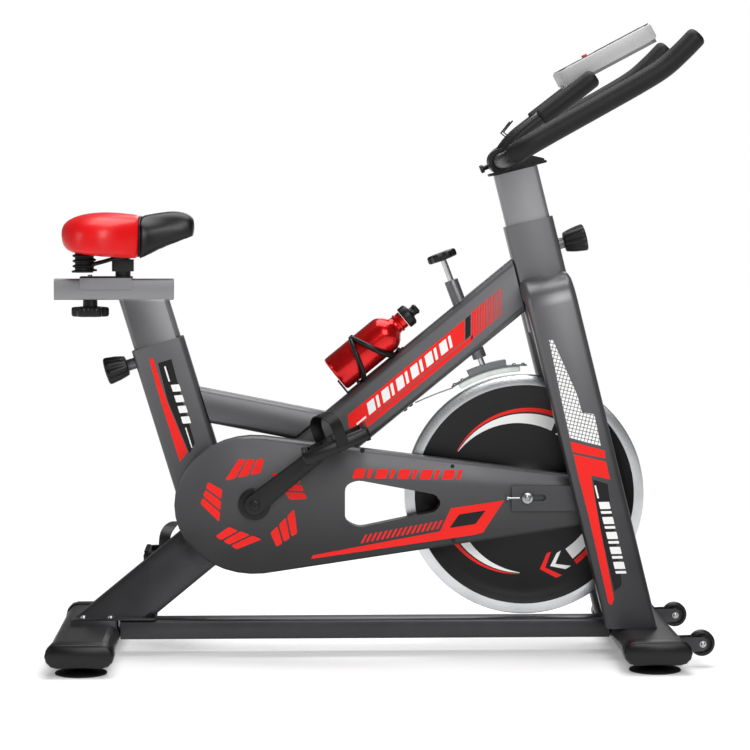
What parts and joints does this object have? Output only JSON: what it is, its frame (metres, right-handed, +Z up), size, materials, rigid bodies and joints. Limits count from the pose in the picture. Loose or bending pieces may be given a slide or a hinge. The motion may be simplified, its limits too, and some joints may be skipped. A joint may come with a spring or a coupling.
{
  "type": "indoor spin bike",
  "caption": "Indoor cycling trainer with a slanting tube frame, belt-driven rim-weighted flywheel, sliding seat and handlebar posts, toe-strap pedals, push brake and bottle cage.",
  "frame": {"origin": "on the floor, under the middle of the bike's bounding box", "axes": "+X points forward from the saddle to the handlebar, +Y to the rider's left, +Z up"},
  "size_m": [1.08, 0.48, 1.0466],
  "materials": {
    "frame_paint": "charcoal powder coat, semi-gloss",
    "post_paint": "light grey powder coat, semi-gloss",
    "guard_plastic": "charcoal moulded cover, satin",
    "black_plastic": "black moulded plastic, satin",
    "black_steel": "black paint, semi-gloss",
    "black_rubber": "matt black",
    "drive_belt": "matt black ribbed belt",
    "polished_steel": "bright polished steel",
    "foam_grip": "matt black foam",
    "red_vinyl": "glossy red vinyl",
    "black_vinyl": "black vinyl, satin",
    "felt": "pale pressed wool felt",
    "console_shell": "light grey moulded plastic",
    "red_button": "red, glossy",
    "bottle_red": "red, glossy"
  },
  "bodies": {
    "frame": {"rear_stabiliser": "frame_paint", "front_stabiliser": "frame_paint", "base_bar": "frame_paint", "main_beam": "frame_paint", "seat_tube": "frame_paint", "rear_brace": "frame_paint", "head_tube": "frame_paint", "fork_leg_right": "frame_paint", "fork_leg_left": "frame_paint", "guard_outer": "guard_plastic", "guard_inner": "guard_plastic", "flywheel_axle": "polished_steel", "belt": "drive_belt", "bottle_cage": "black_plastic", "rear_cap_right": "black_plastic", "rear_cap_left": "black_plastic", "front_cap_right": "black_plastic", "front_cap_left": "black_plastic"},
    "flywheel_group": {"flywheel": "polished_steel", "driven_pulley": "polished_steel"},
    "crankset": {"crank_spindle": "black_steel", "crank_arm_right": "black_steel", "crank_arm_left": "black_steel"},
    "right_pedal": {"pedal_right": "black_plastic", "toe_strap_right": "black_plastic"},
    "left_pedal": {"pedal_left": "black_plastic", "toe_strap_left": "black_plastic"},
    "seat_post_group": {"seat_post": "post_paint"},
    "saddle": {"saddle_slider": "post_paint", "saddle_stem": "black_steel", "saddle_rails": "polished_steel", "saddle_rear": "red_vinyl", "saddle_nose": "black_vinyl", "saddle_spring_right": "black_rubber", "saddle_spring_left": "black_rubber"},
    "fore_aft_handwheel": {"fore_aft_knob": "black_plastic"},
    "seat_height_pin": {"seat_height_knob": "black_plastic"},
    "handlebar_height_pin": {"head_height_knob": "black_plastic"},
    "handlebar_group": {"handlebar_post": "post_paint", "stem_clamp": "black_steel", "handlebar": "black_steel", "console": "console_shell", "console_bracket": "black_steel", "outer_grip_right": "foam_grip", "outer_grip_left": "foam_grip", "inner_grip_right": "foam_grip", "inner_grip_left": "foam_grip"},
    "clamp_screw": {"clamp_knob": "black_plastic"},
    "reset_button": {"console_button": "red_button"},
    "brake_rod": {"brake_plunger": "polished_steel", "brake_pad": "felt"},
    "tension_knob": {"brake_knob": "black_plastic"},
    "bottle_body": {"bottle": "bottle_red"},
    "bottle_lid": {"bottle_cap": "black_plastic"},
    "right_transport_wheel": {"transport_wheel_right": "black_rubber"},
    "left_transport_wheel": {"transport_wheel_left": "black_rubber"},
    "right_rear_leveller": {"rear_foot_right": "black_rubber"},
    "right_front_leveller": {"front_foot_right": "black_rubber"},
    "left_rear_leveller": {"rear_foot_left": "black_rubber"},
    "left_front_leveller": {"front_foot_left": "black_rubber"}
  },
  "joints": [
    {"name": "flywheel_spin", "type": "hinge", "parent": "frame", "child": "flywheel_group", "pos_m": [0.242, 0, 0.2665], "axis": [0, 1, 0], "continuous": true},
    {"name": "crank_spin", "type": "hinge", "parent": "frame", "child": "crankset", "pos_m": [-0.2083, 0, 0.257], "axis": [0, 1, 0], "continuous": true},
    {"name": "pedal_right_spin", "type": "hinge", "parent": "crankset", "child": "right_pedal", "pos_m": [-0.07526, -0.135, 0.36283], "axis": [0, 1, 0], "continuous": true},
    {"name": "pedal_left_spin", "type": "hinge", "parent": "crankset", "child": "left_pedal", "pos_m": [-0.34134, 0.135, 0.15117], "axis": [0, 1, 0], "continuous": true},
    {"name": "seat_height", "type": "slide", "parent": "frame", "child": "seat_post_group", "axis": [-0.2924, 0, 0.9563], "range_m": [-0.045, 0.12]},
    {"name": "seat_fore_aft", "type": "slide", "parent": "seat_post_group", "child": "saddle", "axis": [1, 0, 0], "range_m": [-0.036, 0.015]},
    {"name": "fore_aft_knob_turn", "type": "hinge", "parent": "saddle", "child": "fore_aft_handwheel", "pos_m": [-0.48, 0, 0.5925], "axis": [0, 0, 1], "range_deg": [-180, 180]},
    {"name": "seat_pin_pull", "type": "slide", "parent": "frame", "child": "seat_height_pin", "axis": [-0.9563, 0, -0.2924], "range_m": [0, 0.012], "stiffness_N_per_m": 600, "springref_m": -0.01},
    {"name": "handlebar_height", "type": "slide", "parent": "frame", "child": "handlebar_group", "axis": [-0.2419, 0, 0.9703], "range_m": [-0.045, 0.09]},
    {"name": "handlebar_pin_pull", "type": "slide", "parent": "frame", "child": "handlebar_height_pin", "axis": [0.9703, 0, 0.2419], "range_m": [0, 0.012], "stiffness_N_per_m": 600, "springref_m": -0.01},
    {"name": "bar_clamp_turn", "type": "hinge", "parent": "handlebar_group", "child": "clamp_screw", "pos_m": [0.1775, 0, 0.8115], "axis": [-0.9292, 0, -0.3697], "range_deg": [-180, 180]},
    {"name": "button_press", "type": "slide", "parent": "handlebar_group", "child": "reset_button", "axis": [0.4695, 0, -0.8829], "range_m": [0, 0.002], "stiffness_N_per_m": 300, "springref_m": -0.002},
    {"name": "brake_push", "type": "slide", "parent": "frame", "child": "brake_rod", "axis": [0.3518, 0, -0.9361], "range_m": [0, 0.005], "stiffness_N_per_m": 800, "springref_m": -0.01},
    {"name": "brake_knob_turn", "type": "hinge", "parent": "brake_rod", "child": "tension_knob", "pos_m": [0.1045, 0, 0.6631], "axis": [0.3518, 0, -0.9361], "range_deg": [0, 720]},
    {"name": "bottle_slide", "type": "slide", "parent": "frame", "child": "bottle_body", "axis": [0.7733, 0, 0.6341], "range_m": [0, 0.05]},
    {"name": "bottle_lid_turn", "type": "hinge", "parent": "bottle_body", "child": "bottle_lid", "pos_m": [-0.0735, 0, 0.46646], "axis": [0.7733, 0, 0.6341], "range_deg": [0, 360]},
    {"name": "rear_right_foot_turn", "type": "hinge", "parent": "frame", "child": "right_rear_leveller", "pos_m": [-0.4845, -0.195, 0], "axis": [0, 0, 1], "continuous": true},
    {"name": "front_right_foot_turn", "type": "hinge", "parent": "frame", "child": "right_front_leveller", "pos_m": [0.4377, -0.195, 0], "axis": [0, 0, 1], "continuous": true},
    {"name": "right_wheel_roll", "type": "hinge", "parent": "frame", "child": "right_transport_wheel", "pos_m": [0.519, -0.155, 0.0385], "axis": [0, 1, 0], "continuous": true},
    {"name": "rear_left_foot_turn", "type": "hinge", "parent": "frame", "child": "left_rear_leveller", "pos_m": [-0.4845, 0.195, 0], "axis": [0, 0, 1], "continuous": true},
    {"name": "front_left_foot_turn", "type": "hinge", "parent": "frame", "child": "left_front_leveller", "pos_m": [0.4377, 0.195, 0], "axis": [0, 0, 1], "continuous": true},
    {"name": "left_wheel_roll", "type": "hinge", "parent": "frame", "child": "left_transport_wheel", "pos_m": [0.519, 0.155, 0.0385], "axis": [0, 1, 0], "continuous": true}
  ],
  "couplings": [
    {"joint": "crank_spin", "follows": "flywheel_spin", "ratio": 0.3312}
  ]
}
